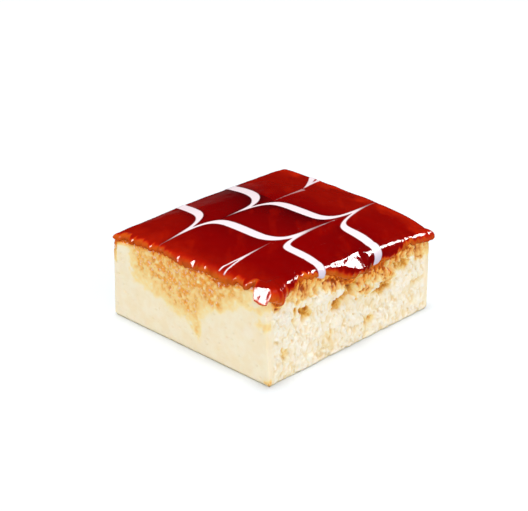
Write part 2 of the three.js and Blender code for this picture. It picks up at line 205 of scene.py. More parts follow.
def bubbles(points, size, seed):
    """For each point, the nearest and second nearest of one random centre a cell, as shares of the
    cell, and a random number that belongs to the nearest."""
    place = np.asarray(points) / np.asarray(size, dtype=float)
    cell = np.floor(place)
    first = np.full(place.shape[:-1], FAR)
    second = np.full(place.shape[:-1], FAR)
    owner = np.zeros(place.shape[:-1])
    for offset in np.ndindex(3, 3, 3):
        near = cell + np.array(offset) - 1
        centre = near + np.stack([scatter_number(near, seed + 31 * axis) for axis in range(3)], -1)
        away = np.linalg.norm(place - centre, axis=-1)
        closer = away < first
        second = np.where(closer, first, np.minimum(second, away))
        owner = np.where(closer, scatter_number(near, seed + 97), owner)
        first = np.where(closer, away, first)
    return first, second, owner


# ---- outline and surfaces of the slice ----
def ring_stops(steps, corner_steps):
    """The stops round the slice, as rows of corner share x and y, outward x and y, side and share."""
    corners = [(-1, -1), (1, -1), (1, 1), (-1, 1)]
    rows = []
    for side, (x, y) in enumerate(corners):
        next_x, next_y = corners[(side + 1) % 4]
        heading = (side - 1) * math.pi / 2
        for step in range(steps[side]):
            share = step / steps[side]
            rows.append((x + (next_x - x) * share, y + (next_y - y) * share,
                         math.cos(heading), math.sin(heading), side, share))
        for step in range(corner_steps):
            turn = heading + math.pi / 2 * step / corner_steps
            push = max(abs(math.cos(turn)), abs(math.sin(turn))) ** -CORNER_SHARPNESS
            rows.append((next_x, next_y, math.cos(turn) * push, math.sin(turn) * push, side, 1.0))
    return np.array(rows)


def glaze_height(x, y):
    a = (x - TOP["shift_x"]) / (TOP["x"] / 2)
    b = (y - TOP["shift_y"]) / (TOP["y"] / 2)
    along, across = (a + 1) / 2, (b + 1) / 2
    front = CORNER_HEIGHT["front_left"] * (1 - along) + CORNER_HEIGHT["front_right"] * along
    back = CORNER_HEIGHT["back_left"] * (1 - along) + CORNER_HEIGHT["back_right"] * along
    return front * (1 - across) + back * across + DOME * (1 - a * a) * (1 - b * b)


def top_point(share_x, share_y, offset):
    near_tip = ((1 - share_x) * (1 - share_y) / 4) ** 2
    x = TOP["shift_x"] + share_x * FLAT[0] + TIP[0] * near_tip
    y = TOP["shift_y"] + share_y * FLAT[1] + TIP[1] * near_tip
    top = np.stack([x, y, glaze_height(x, y) - GLAZE["gap"] - GLAZE["top"] + offset], -1)
    for (corner_x, corner_y), sag in SAGS:
        near = ((1 + corner_x * share_x) * (1 + corner_y * share_y) / 4) ** SAG_POWER
        top = top + near[..., None] * np.array(sag)
    knots = np.array(RIGHT_FALL)
    top[..., 2] -= np.interp(y, knots[:, 0], knots[:, 1]) * ((1 + share_x) / 2) ** RIGHT_FALL_POWER
    return top


def shoulder_point(share_x, share_y, out_x, out_y, turn, offset):
    rim = top_point(share_x, share_y, 0)
    radius = RIM_RADIUS + offset
    out = radius * np.sin(turn)
    rise = radius * np.cos(turn) - RIM_RADIUS + np.zeros_like(out_x)
    return rim + np.stack([out_x * out, out_y * out, rise], -1)


def wall_point(share_x, share_y, out_x, out_y, down, offset):
    head = shoulder_point(share_x, share_y, out_x, out_y, math.pi / 2, offset)
    foot = np.stack([
        share_x * (BASE["x"] / 2 - BASE["corner"]) + out_x * (BASE["corner"] + offset),
        share_y * (BASE["y"] / 2 - BASE["corner"]) + out_y * (BASE["corner"] + offset),
        np.zeros_like(head[..., 2]),
    ], -1)
    return head + (foot - head) * np.asarray(down)[..., None]


def past_rim(share_x, share_y, out_x, out_y, distance, offset):
    """A point on the shell, past the flat of the top by distance, over the shoulder and down."""
    turn = np.clip(distance / SHOULDER_LENGTH, 0, 1) * math.pi / 2
    over = shoulder_point(share_x, share_y, out_x, out_y, turn, offset)
    height = shoulder_point(share_x, share_y, out_x, out_y, math.pi / 2, 0)[..., 2]
    down = np.clip((distance - SHOULDER_LENGTH) / height, 0, 1)
    wall = wall_point(share_x, share_y, out_x, out_y, down, offset)
    return np.where((distance > SHOULDER_LENGTH)[..., None], wall, over)


def round_gap(here, place):
    """How far here is past a place on the round of the slice, the shorter way, with its sign."""
    return (here - place + ROUND / 2) % ROUND - ROUND / 2


def glaze_reach(side, share):
    """How far the glaze runs past the flat of the top, in millimetres, at a place on the round."""
    here = SIDE_START[side] + share * SIDE_LENGTH[side]
    reach, weight, drop = 0, 0, 0
    for index in range(4):
        middle = SIDE_START[index] + SIDE_LENGTH[index] / 2
        from_corner = np.abs(round_gap(here, middle)) - SIDE_LENGTH[index] / 2
        part = 1 - smoothstep(from_corner, -CORNER_BLEND, CORNER_BLEND)
        reach = reach + EDGE_REACH[index] * part
        weight = weight + part
    for index, at, half_width, fall in RUNS:
        gap = round_gap(here, SIDE_START[index] + at)
        drop = drop + fall * np.exp(-(gap / half_width) ** 2)
    return reach / weight + drop


# ---- icing ----
def line_inside(line, x, y):
    """How far a place is inside one feathered line, in millimetres on y, and how thin the icing is
    drawn there."""
    knots = np.array(line["rest"], dtype=float)
    rest = np.interp(x, knots[:, 0], knots[:, 1])
    nearest = np.full(x.shape, FAR)
    straight = x
    for at, slant, *_ in line["pulls"]:
        upright = x - slant * (y - rest)
        away = np.abs(upright - at)
        straight = np.where(away < nearest, upright, straight)
        nearest = np.minimum(nearest, away)
    rest = np.interp(straight, knots[:, 0], knots[:, 1])
    bend, over, under = 0, 0, 0
    for at, slant, depth, left, right, thread in line["pulls"]:
        away = np.abs(straight - at)
        bend = bend + depth * np.exp(-away / np.where(straight < at, left, right))
        drawn = thread * np.exp(-away / THREAD_HALF_WIDTH)
        over = over + np.maximum(drawn, 0)
        under = under + np.minimum(drawn, 0)
    pinched = line["width"] * (1 - PINCH * np.exp(-nearest / PINCH_REACH))
    upper = rest + pinched / 2 + bend
    lower = rest - pinched / 2 + bend
    inside = np.minimum(upper + over - y, y - lower - under)
    drawn = np.maximum(y - upper, lower - y)
    outside = (straight < knots[0, 0]) | (straight > knots[-1, 0])
    return np.where(outside, OUTSIDE, inside), drawn


def icing_depth(x, y):
    """How far a place is inside the icing, in millimetres, and how much of it is thread."""
    best = np.full(x.shape, OUTSIDE)
    thread = np.zeros(x.shape)
    step = 0.1
    for line in ICING_LINES:
        here, drawn = line_inside(line, x, y)
        rise_x = line_inside(line, x + step, y)[0] - line_inside(line, x - step, y)[0]
        rise_y = line_inside(line, x, y + step)[0] - line_inside(line, x, y - step)[0]
        depth = here / np.maximum(np.hypot(rise_x, rise_y) / (2 * step), 1)
        thread = np.where(depth > best, drawn + line.get("faint", 0), thread)
        best = np.maximum(best, depth)
    return best, np.clip(thread, 0, None)


# ---- crumb ----
# The lumps of torn crumb, large to small: (width, height, how far they stand out, seed).
LUMPS = ((3.0, 4.4, 0.6, 41), (1.5, 2.2, 0.95, 53), (0.8, 1.0, 0.5, 61))
LUMP_BEND = 2.2
# Pores: (size of a bubble's cell, seed, radius, softness of the edge, share of cells without, depth).
PORES = dict(
    torn=((1.4, 1.3, 1.9), 67, 0.44, 0.26, 0.62, 0.8),
    cut=((1.9, 1.9, 1.6), 131, 0.34, 0.2, 0.7, 0.3),
    cut_fine=(0.9, 151, 0.4, 0.25, 0.55, 0.12),
)
# How steep a cleft is above and below its middle, how much of it has a hard edge, and the depth past
# which its painted shade gets no darker.
CLEFT = dict(above=2.0, below=0.8, hard=0.55, darkest=1.6)


def dents(table, along, z):
    """How deep the clefts are, with a crisp upper edge and a long slope below it, and how much shade is
    painted in them.
    """
    total, shaded = 0, 0
    for at, height, half_width, half_height, depth in table:
        across, up = (along - at) / half_width, (z - height) / half_height
        up = np.where(up > 0, CLEFT["above"] * up, CLEFT["below"] * up)
        inside = np.exp(-across ** 2 - up ** 2)
        if depth > 0:
            inside = (1 - CLEFT["hard"]) * inside + CLEFT["hard"] * smoothstep(inside, 0.3, 0.75)
            # Painted shade: darker towards a cleft's upper edge, under the ledge of crumb.
            shade_under_ledge = 0.55 + 0.7 * smoothstep(up, -1.0, 0.4)
            shaded = shaded + min(depth, CLEFT["darkest"]) * inside * shade_under_ledge
        total = total + depth * inside
    return total, shaded


def pore_depth(kind, points):
    size, seed, radius, softness, without, depth = PORES[kind]
    away, _, number = bubbles(points, size, seed)
    return depth * smoothstep(radius - away, 0, softness) * (number > without)


def torn_crumb(points):
    """How far torn crumb stands out, in millimetres: lumps of three sizes, pores between them."""
    bend = np.stack([unevenness("lump_bend_" + axis, points) for axis in "xyz"], -1)
    place = points + bend * LUMP_BEND
    height = 0
    for width, tall, reach, seed in LUMPS:
        lump, next_lump, number = bubbles(place, (width, width, tall), seed)
        join = smoothstep(next_lump - lump, 0.0, 0.3)
        height = height + reach * (0.22 - lump ** 2 + 0.45 * (number - 0.5) * join)
    return height - pore_depth("torn", place) + 0.35 * unevenness("crumb_swell", points)


def cut_crumb(points):
    """How far knife-cut crumb stands out: nearly flat, with small pores where bubbles were cut."""
    pores = pore_depth("cut", points) + pore_depth("cut_fine", points)
    return 0.1 * unevenness("cut_swell", points) - pores


# ---- meshes ----
def new_object(name, data):
    made = bpy.data.objects.new(name, data)
    bpy.context.scene.collection.objects.link(made)
    return made


def mesh_object(name, points, faces, attributes):
    """A smooth-shaded mesh from points in cake millimetres, quads and triangles, and point values."""
    mesh = bpy.data.meshes.new(name)
    mesh.from_pydata(to_world(points).tolist(), [], [tuple(face) for face in faces])
    mesh.validate()
    for label, values in attributes.items():
        layer = mesh.attributes.new(label, "FLOAT", "POINT")
        layer.data.foreach_set("value", np.asarray(values, dtype=np.float32))
    mesh.polygons.foreach_set("use_smooth", [True] * len(mesh.polygons))
    mesh.update()
    return new_object(name, mesh)


def ring_faces(rows, columns):
    """Quads between rings, for points stored ring after ring and going up."""
    row, column = np.meshgrid(np.arange(rows - 1), np.arange(columns), indexing="ij")
    after = (column + 1) % columns
    return np.stack([
        row * columns + column, row * columns + after,
        (row + 1) * columns + after, (row + 1) * columns + column,
    ], -1).reshape(-1, 4).tolist()


# ---- sponge ----
SPONGE_STEPS = (176, 290, 96, 150)
SPONGE_CORNER_STEPS = 9
WALL_ROWS = 112
# How the sponge closes under the glaze: the shoulder's turns, and shares of the flat going inwards.
SHOULDER_TURNS = np.radians([60, 30])
INWARD_SHARES = (1.0, 0.9, 0.6, 0.3)
# Where the caramel has soaked into the front face: (x, z, half width, half height, strength).
STAINS = [
    (-23, 25.5, 4.5, 4.5, 0.32), (-17, 25.5, 6, 4, 0.32), (-11, 24, 8, 6, 0.42),
    (0, 26, 9, 4, 0.38), (12, 26, 8, 4, 0.42), (24, 27.5, 7, 3, 0.40),
    (-12, 18, 7, 4, 0.22), (-3, 14.5, 5, 4, 0.15),
    (-23, 19.5, 5, 3.6, 0.17), (-3, 18.5, 5.5, 5.5, 0.34), (3.5, 20.5, 8, 5.5, 0.26),
    (4.6, 14, 3.2, 6, 0.30), (5.8, 9, 1.6, 3.6, 0.24), (11.5, 22.5, 6, 3.6, 0.28),
    (8.3, 26, 2.4, 1.5, 0.40), (14.2, 20.3, 3.2, 1.4, 0.42), (-13, 26, 2.6, 2, 0.20),
    (21, 22, 3, 1.2, 0.14), (36, 20.4, 4, 1.7, 0.30), (33, 24.5, 2.6, 1.1, 0.26),
    (38, 26, 1.6, 2, 0.10), (38, 0.6, 1.6, 1.4, 0.8),
]
# The even stain under the front's glaze, between two places on x, and the dark line at the very edge.
FRONT_BAND = dict(strength=0.34, starts=(-30, -24), ends=(18, 32), reach=4.0)
FRONT_EDGE = dict(strength=0.35, reach=0.9)
# The caramel under the glaze's edge on the right: (y, how far down it reaches, how strong it is).
RIGHT_SOAK = np.array([
    (-42, 2, 0.7), (-32, 2, 0.7), (-28, 6, 0.75), (-20, 6.5, 0.8), (-15, 6, 0.7), (-11, 4.5, 0.85),
    (-6, 5, 0.85), (-2, 6, 1), (8, 8, 1.1), (13, 6.5, 1), (18, 10, 1.15), (25, 7, 0.85),
    (30, 6, 0.65), (36, 6, 0.6), (44, 6.5, 0.7),
])
# The same on the back and left.
OTHER_SOAK = (7.5, 1.0)


def below_glaze(stops, z, wall_height):
    """How far under the glaze's lower edge a place on the wall is, in millimetres."""
    reach = glaze_reach(stops[:, 4].astype(int), stops[:, 5]) - RIM_RADIUS * math.pi / 2
    return wall_height - z - np.maximum(reach, -1.5)


def front_soak(points, under, coarse, fine):
    """The stains on the knife-cut front, with a dark line right under the glaze's edge."""
    x, z = points[..., 0], points[..., 2]
    bent_x, bent_z = x + 1.8 * coarse + 0.9 * fine, z + 1.6 * unevenness("soak_bend", points)
    stain = 0
    for at, height, half_width, half_height, strength in STAINS:
        across, up = (bent_x - at) / half_width, (bent_z - height) / half_height
        stain = stain + strength * np.exp(-across ** 2 - up ** 2)
    past = np.maximum(under, 0)
    between = smoothstep(x, *FRONT_BAND["starts"]) * (1 - smoothstep(x, *FRONT_BAND["ends"]))
    band = FRONT_BAND["strength"] * between * np.exp(-past / FRONT_BAND["reach"])
    edge = FRONT_EDGE["strength"] * np.exp(-past / FRONT_EDGE["reach"])
    return np.clip((stain + band) * (1 + 0.4 * coarse + 1.1 * fine), 0, 0.85) + edge * (1 + 0.5 * fine)


def sponge_soak(stops, points, wall_height):
    """How far the caramel has soaked in, from 0 in plain crumb to 1 right under the glaze."""
    side = stops[:, 4].astype(int)
    under = below_glaze(stops, points[..., 2], wall_height)
    coarse, fine = unevenness("soak_coarse", points), unevenness("soak_fine", points)
    at, right_reach, right_strength = RIGHT_SOAK.T
    reach = np.where(side == RIGHT, np.interp(points[..., 1], at, right_reach), OTHER_SOAK[0])
    strength = np.where(side == RIGHT, np.interp(points[..., 1], at, right_strength), OTHER_SOAK[1])
    sides = strength * (1 - under / (reach * (1 + 0.5 * coarse)) + 0.35 * fine)
    return np.clip(np.where(side == FRONT, front_soak(points, under, coarse, fine), sides), 0, 1)


def crumb_relief(stops, points, wall_height, soak):
    """How far the crumb stands out from the smooth wall, how deep its clefts are and how much shade is
    painted in them, and where it is torn."""
    side, share = stops[:, 4].astype(int), stops[:, 5]
    z = points[..., 2]
    along = np.where((side == RIGHT) | (side == LEFT), points[..., 1], points[..., 0])
    bent_along = along + 4.0 * unevenness("cleft_bend_along", points)
    bent_z = z + 3.2 * unevenness("cleft_bend_up", points)
    from_corner = np.minimum(share, 1 - share)
    torn = np.isin(side, (RIGHT, LEFT)) * smoothstep(from_corner, 0, 0.02)
    clefts, shaded = 0, 0
    for torn_side, table in ((RIGHT, TORN_RIGHT), (LEFT, TORN_LEFT)):
        deep, shade = dents(table, bent_along, bent_z)
        here = (side == torn_side) * smoothstep(from_corner, 0, 0.035)
        clefts, shaded = clefts + deep * here, shaded + shade * here
    crumbly = 0.55 * smoothstep(soak, 0.3, 0.7) * (1 - torn)
    relief = torn_crumb(points) * (torn + crumbly) + cut_crumb(points) * (1 - torn) - clefts
    covered = smoothstep(below_glaze(stops, z, wall_height), -0.8, 0.4)
    calmer_foot = 0.4 + 0.6 * smoothstep(z, 0, 1.2)
    foot_inset = 0.6 * (1 - smoothstep(z, 0, 0.9))
    return relief * covered * calmer_foot - foot_inset, clefts * covered, shaded, torn


def build_sponge():
    stops = ring_stops(SPONGE_STEPS, SPONGE_CORNER_STEPS)
    count = len(stops)
    columns = [stops[:, index] for index in range(4)]
    wall_height = wall_point(*columns, 0.0, 0)[:, 2]
    rings, soaks, pit_shades, cleft_shades = [], [], [], []
    for row in range(WALL_ROWS + 1):
        points = wall_point(*columns, np.full(count, 1 - row / WALL_ROWS), 0)
        soak = sponge_soak(stops, points, wall_height)
        relief, clefts, shaded, torn = crumb_relief(stops, points, wall_height, soak)
        rings.append(points + np.stack([stops[:, 2] * relief, stops[:, 3] * relief, 0 * relief], -1))
        soaks.append(soak)
        # Painted shade: how deep the pores and hollows lie, apart from the clefts, kept to darken their
        # colour.
        pit_shades.append(np.clip(-relief - clefts, -1, 3))
        cleft_shades.append(np.clip(shaded, 0, 3))
    rings += [shoulder_point(*columns, turn, 0) for turn in SHOULDER_TURNS]
    rings += [top_point(stops[:, 0] * inward, stops[:, 1] * inward, 0) for inward in INWARD_SHARES]
    covered = count * (len(rings) - len(soaks))
    faces = ring_faces(len(rings), count)
    crown, foot = count * len(rings), count * len(rings) + 1
    for column in range(count):
        after = (column + 1) % count
        faces.append((crown - count + column, crown - count + after, crown))
        faces.append((after, column, foot))
    middle = top_point(np.zeros(1), np.zeros(1), 0)
    points = np.concatenate(rings + [middle, [[0, 0, 0]]])
    attributes = dict(
        torn=np.concatenate([np.tile(torn, len(rings)), [0, 0]]),
        soak=np.concatenate(soaks + [np.ones(covered), [1, 0]]),
        painted_pit_shade=np.concatenate(pit_shades + [np.zeros(covered), [0, 0]]),
        painted_cleft_shade=np.concatenate(cleft_shades + [np.zeros(covered), [0, 0]]),
    )
    return mesh_object("sponge_crumb", points, faces, attributes)


# ---- glaze ----
GLAZE_CELLS = (226, 250)
SKIRT_CELLS = 22
# How the glaze closes on the sponge: shares of its reach, then shares of the flat going inwards, and
# how far off the sponge these and the glaze's edge lie.
UNDERSIDE_REACHES = (0.7, 0.35)
UNDERSIDE_SHARES = (1.0, 0.6)
UNDERSIDE_OFFSET = 0.02
EDGE_OFFSET = 0.04
# The level down the skirt, from 0 to 1, at which the glaze has its thickness of the rim, and the one
# from which its edge is rounded off.
RIM_LEVEL = 0.6
BEAD_LEVEL = 0.8
# How much thinner the edge is on the front, and how high the icing stands on the glaze.
FRONT_THINNER = 0.35
ICING_RISE = 0.12
# How far a place on the skirt counts as moved out, when the icing is laid over it.
ICING_SPREAD = 0.6
# How high the waves of the top and of the rim and the lumps of the skirt are, and how wide the rim is.
WAVES = dict(top=0.08, rim=0.25, rim_width=3.5, skirt=0.4)
# How far the glaze's lower edge strays from an even line, in coarse and fine steps.
RAGGED = dict(coarse=0.8, fine_right=1.8, fine_others=1.3)
# Where the glaze stands out over a ledge of crumb: (side, place along it, half width, rise, level).
SWELLS = [
    (RIGHT, 1.5, 1.8, 0.5, 0.9), (RIGHT, 36.5, 3, 0.7, 0.45), (RIGHT, 41, 3.6, 1.2, 0.5),
    (RIGHT, 75, 6, 0.25, 0.6), (FRONT, 67.5, 3.6, 1.9, 0.6), (FRONT, 40, 6, 0.35, 0.6),
]
SWELL_HALF_HEIGHT = 0.4
# Where it lies flat along the rim, and so shines as one broad patch. Each flat is a side and its
# knots: a place along the side, and how deep the flat cuts into the rim's round there.
FLATS = [
    (RIGHT, [(9.6, -0.2), (11.9, 0.35), (14.2, -0.2)]),
    (RIGHT, [(19, -0.2), (25, 0.15), (33, 0.2), (38, 0.25), (40.2, 0.42), (42, 0.42),
             (43.5, 0.1), (50, 0.15), (53, -0.2)]),
    (RIGHT, [(54, -0.1), (62, 0.04), (72, 0.04), (76.5, 0.07), (79, -0.1)]),
    (FRONT, [(25, -0.1), (26.5, 0.2), (30.5, 0.2), (31.5, -0.1)]),
    (FRONT, [(32.5, -0.1), (33.5, 0.22), (37.5, 0.22), (38.5, -0.1)]),
    (FRONT, [(40, -0.1), (41, 0.15), (43, 0.15), (44, -0.1)]),
    (FRONT, [(62, -0.5), (64, -0.1), (70, -0.1), (72, -0.5)]),
]
FLAT_RAGGED = 0.12
# The way the flats on each side face.
FLAT_FACING = {FRONT: (0.3, -0.86, 0.41), RIGHT: (0.773, 0.03, 0.633)}
# How wide the thin orange fringe along the glaze's lower edge is: on the right by y, round the front
# right corner, and everywhere else.
RIGHT_FRINGE = np.array([
    (-42, 4.2), (-34, 4), (-30, 1.4), (-16, 1), (-8, 3), (0, 2.6), (12, 1.6), (20, 1.3), (44, 1.6),
])
CORNER_FRINGE = 3.4
OTHER_FRINGE = 1.6
# Painted shade on the caramel in front of an icing line: (line, how dark, how far it reaches), and close to
# both.
LINE_SHADES = ((MIDDLE_LINE, 1.0, 9.0), (FRONT_LINE, 0.55, 4.0))
CLOSE_SHADE = dict(strength=0.6, reach=1.2)


def grid_shares(cells):
    """For each grid line across one side: the share of the flat half size, and how far into the
    skirt it is, from 0 on the flat to 1 at the glaze's lower edge."""
    skirt = np.arange(1, SKIRT_CELLS + 1) / SKIRT_CELLS
    ends = np.ones(SKIRT_CELLS)
    share = np.concatenate([-ends, np.linspace(-1, 1, cells + 1), ends])
    past = np.concatenate([-skirt[::-1], np.zeros(cells + 1), skirt])
    return share, past


def glaze_grid():
    """The glaze's grid: the corner shares and outward parts that place a point on the shell, how far
    into the skirt it is on x and y, its level down the skirt, its side and its place along it."""
    share_x, past_x = grid_shares(GLAZE_CELLS[0])
    share_y, past_y = grid_shares(GLAZE_CELLS[1])
    share_x, share_y = np.meshgrid(share_x, share_y, indexing="ij")
    past_x, past_y = np.meshgrid(past_x, past_y, indexing="ij")
    far_x, far_y = np.abs(past_x), np.abs(past_y)
    level = np.maximum(far_x, far_y)
    lean = np.minimum(far_x, far_y) / np.maximum(level, 1e-9) * math.pi / 4
    turn = np.where(far_x >= far_y, lean, math.pi / 2 - lean)
    push = np.maximum(np.abs(np.cos(turn)), np.abs(np.sin(turn))) ** -CORNER_SHARPNESS
    at_corner = (past_x != 0) & (past_y != 0)
    out_x = np.sign(past_x) * np.where(at_corner, np.cos(turn) * push, 1)
    out_y = np.sign(past_y) * np.where(at_corner, np.sin(turn) * push, 1)
    side = np.where(far_y >= far_x, np.where(past_y > 0, BACK, FRONT), np.where(past_x > 0, RIGHT, LEFT))
    along = np.choose(side, [(share_x + 1) / 2, (share_y + 1) / 2, (1 - share_x) / 2, (1 - share_y) / 2])
    return (share_x, share_y, out_x, out_y), (past_x, past_y), level, side, along


def swelling(side, along, level):
    here = SIDE_START[side] + along * SIDE_LENGTH[side]
    total = 0
    for index, at, half_width, rise, middle in SWELLS:
        across = round_gap(here, SIDE_START[index] + at) / half_width
        down = (level - middle) / SWELL_HALF_HEIGHT
        total = total + rise * np.exp(-across ** 2 - down ** 2)
    return total * (level > 0)


def flat_line(side, knots):
    """The middle of a flat at each of its knots, the way it faces, and how high it is that way. A flat
    on the right follows the rim, and one on the front is turned a little to the right of it."""
    at, depth = np.array(knots).T
    facing = np.array(FLAT_FACING[side]) / np.linalg.norm(FLAT_FACING[side])
    share = 2 * at / SIDE_LENGTH[side] - 1
    whole, none = np.ones_like(share), np.zeros_like(share)
    shell = (whole, share, whole, none) if side == RIGHT else (share, -whole, none, -whole)
    distance = whole * math.acos(facing[2]) / (math.pi / 2) * SHOULDER_LENGTH
    middles = past_rim(*shell, distance, GLAZE["gap"] + GLAZE["top"])
    heights = middles @ facing
    if side == FRONT:
        heights = np.full_like(heights, heights.mean())
    return middles, facing, heights - depth


def flattened(points):
    """The points, with those that stand out of a flat moved back onto it."""
    ragged = FLAT_RAGGED * unevenness("flat_edge", points)
    for side, knots in FLATS:
        middles, facing, heights = flat_line(side, knots)
        axis = 1 if side == RIGHT else 0
        place, at = points[..., axis], middles[:, axis]
        out = points @ facing - (np.interp(place, at, heights) + ragged)
        near = (place > at[0]) & (place < at[-1]) & (np.abs(out) < 3)
        points = points - (np.maximum(out, 0) * near)[..., None] * facing
    return points


def ragged_reach(side, along, points):
    """The glaze's reach, with the small unevenness of its lower edge."""
    fine = np.where(side == RIGHT, RAGGED["fine_right"], RAGGED["fine_others"])
    coarse_part = RAGGED["coarse"] * unevenness("edge_coarse", points)
    return glaze_reach(side, along) + coarse_part + fine * unevenness("edge_fine", points)


def glaze_tones(x, y):
    """How much shade is painted on the caramel in front of each icing line, and how orange it is towards
    the edges.
    """
    shade = 0
    for line, strength, reach in LINE_SHADES:
        inside, _ = line_inside(line, x, y)
        away = np.maximum(-inside, 0)
        knots = np.array(line["rest"], dtype=float)
        below = y < np.interp(x, knots[:, 0], knots[:, 1])
        shade = np.maximum(shade, strength * np.exp(-away / reach) * below)
        shade = np.maximum(shade, CLOSE_SHADE["strength"] * np.exp(-away / CLOSE_SHADE["reach"]))
    blotch = unevenness("blotches", np.stack([x, y, x * 0], -1))
    streak = unevenness("streaks", np.stack([x + y, x - y, x * 0], -1))
    streaked = smoothstep(streak, 0.1, 0.6)
    back_edge = 0.7 * smoothstep(y + 6 * blotch + 5 * streak, 33, 42)
    front_edge = 0.25 * smoothstep(-y + 3 * blotch, 30, 40)
    back_left = 0.25 * smoothstep(y + 4 * blotch, 12, 26) * (1 - 0.6 * smoothstep(x, 14, 24))
    front_left = 0.2 * smoothstep(-x - y + 8 * blotch, 30, 50)
    warm = back_edge + front_edge + back_left + 0.16 * streaked + front_left
    shade = shade * (1 - 0.6 * smoothstep(x, 16, 22)) * (1 - 0.5 * streaked)
    return np.clip(shade, 0, 1), np.clip(warm, 0, 1)


def front_skirt(share_x, past_x, past_y):
    """How much a place belongs to the skirt on the front, which is thin and orange, from 0 to 1."""
    front = np.clip(-past_y, 0, 1) / np.maximum(np.abs(past_x) + np.abs(past_y), 1e-9)
    return front * (1 - smoothstep(share_x, 0.72, 0.86)) * (0.3 + 0.7 * smoothstep(share_x, -1.0, -0.88))


def down_skirt(rim_points, distance):
    """Places for the skirt's unevenness: x and y of the rim, and how far down they are."""
    return np.stack([rim_points[..., 0], rim_points[..., 1], -distance], -1)


def glaze_thickness(level, front):
    on_rim = GLAZE["top"] + (GLAZE["rim"] - GLAZE["top"]) * level / RIM_LEVEL
    edge = GLAZE["edge"] - FRONT_THINNER * front
    on_skirt = GLAZE["rim"] + (edge - GLAZE["rim"]) * (level - RIM_LEVEL) / (1 - RIM_LEVEL)
    return np.where(level < RIM_LEVEL, on_rim, on_skirt)


def glaze_waves(flat, rim_points, share_x, share_y, distance, level):
    """How far the glaze rises and dips: broad waves on the top, more on the rim, lumps on the skirt."""
    from_rim = np.minimum((1 - np.abs(share_x)) * FLAT[0], (1 - np.abs(share_y)) * FLAT[1])
    on_rim = WAVES["rim"] * np.exp(-from_rim / WAVES["rim_width"])
    wave = WAVES["top"] * unevenness("top_wave", flat) + on_rim * unevenness("rim_wave", rim_points)
    lumps = WAVES["skirt"] * unevenness("skirt_lumps", down_skirt(rim_points, distance))
    return wave + lumps * smoothstep(level, 0.45, 0.9)


def caramel_depth(shell, flat, rim_points, side, reach, level, front):
    """How deep the caramel looks: 1 on the top, less down the front skirt and along the lower edge."""
    patchy = unevenness("thin_patches", down_skirt(rim_points, reach * level))
    thin = front * smoothstep(reach * level + 0.7 * patchy, 0.2, 4.2)
    at, right_width = RIGHT_FRINGE.T
    corner = smoothstep(shell[0], 0.9, 1.0) * smoothstep(-shell[1], 0.9, 1.0)
    wide = np.where(side == RIGHT, np.interp(flat[..., 1], at, right_width), OTHER_FRINGE)
    wide = wide * (1 - corner) + CORNER_FRINGE * corner
    from_edge = (1 - level) * reach - 0.9 - 0.4 * wide * patchy
    fringe = 0.9 * smoothstep(from_edge, wide, 0.0) * (level > 0)
    return 1 - np.maximum(thin * (1 - corner), fringe)


def glaze_underside(shell, reach, edge, base):
    """Points inside the glaze's lower edge, on the sponge, and the faces that close it with them."""
    inner = [past_rim(*shell, reach * part, UNDERSIDE_OFFSET) for part in UNDERSIDE_REACHES]
    inner += [top_point(shell[0] * part, shell[1] * part, UNDERSIDE_OFFSET) for part in UNDERSIDE_SHARES]
    middle = top_point(np.zeros(1), np.zeros(1), UNDERSIDE_OFFSET)
    count = len(edge)
    after = np.roll(np.arange(count), -1)
    loops = [edge] + [base + ring * count + np.arange(count) for ring in range(len(inner))]
    faces = []
    for outer, within in zip(loops[:-1], loops[1:]):
        faces += np.stack([outer, within, within[after], outer[after]], -1).tolist()
    centre = base + len(inner) * count
    last = loops[-1]
    faces += [(last[column], centre, last[after[column]]) for column in range(count)]
    return np.concatenate(inner + [middle]), faces


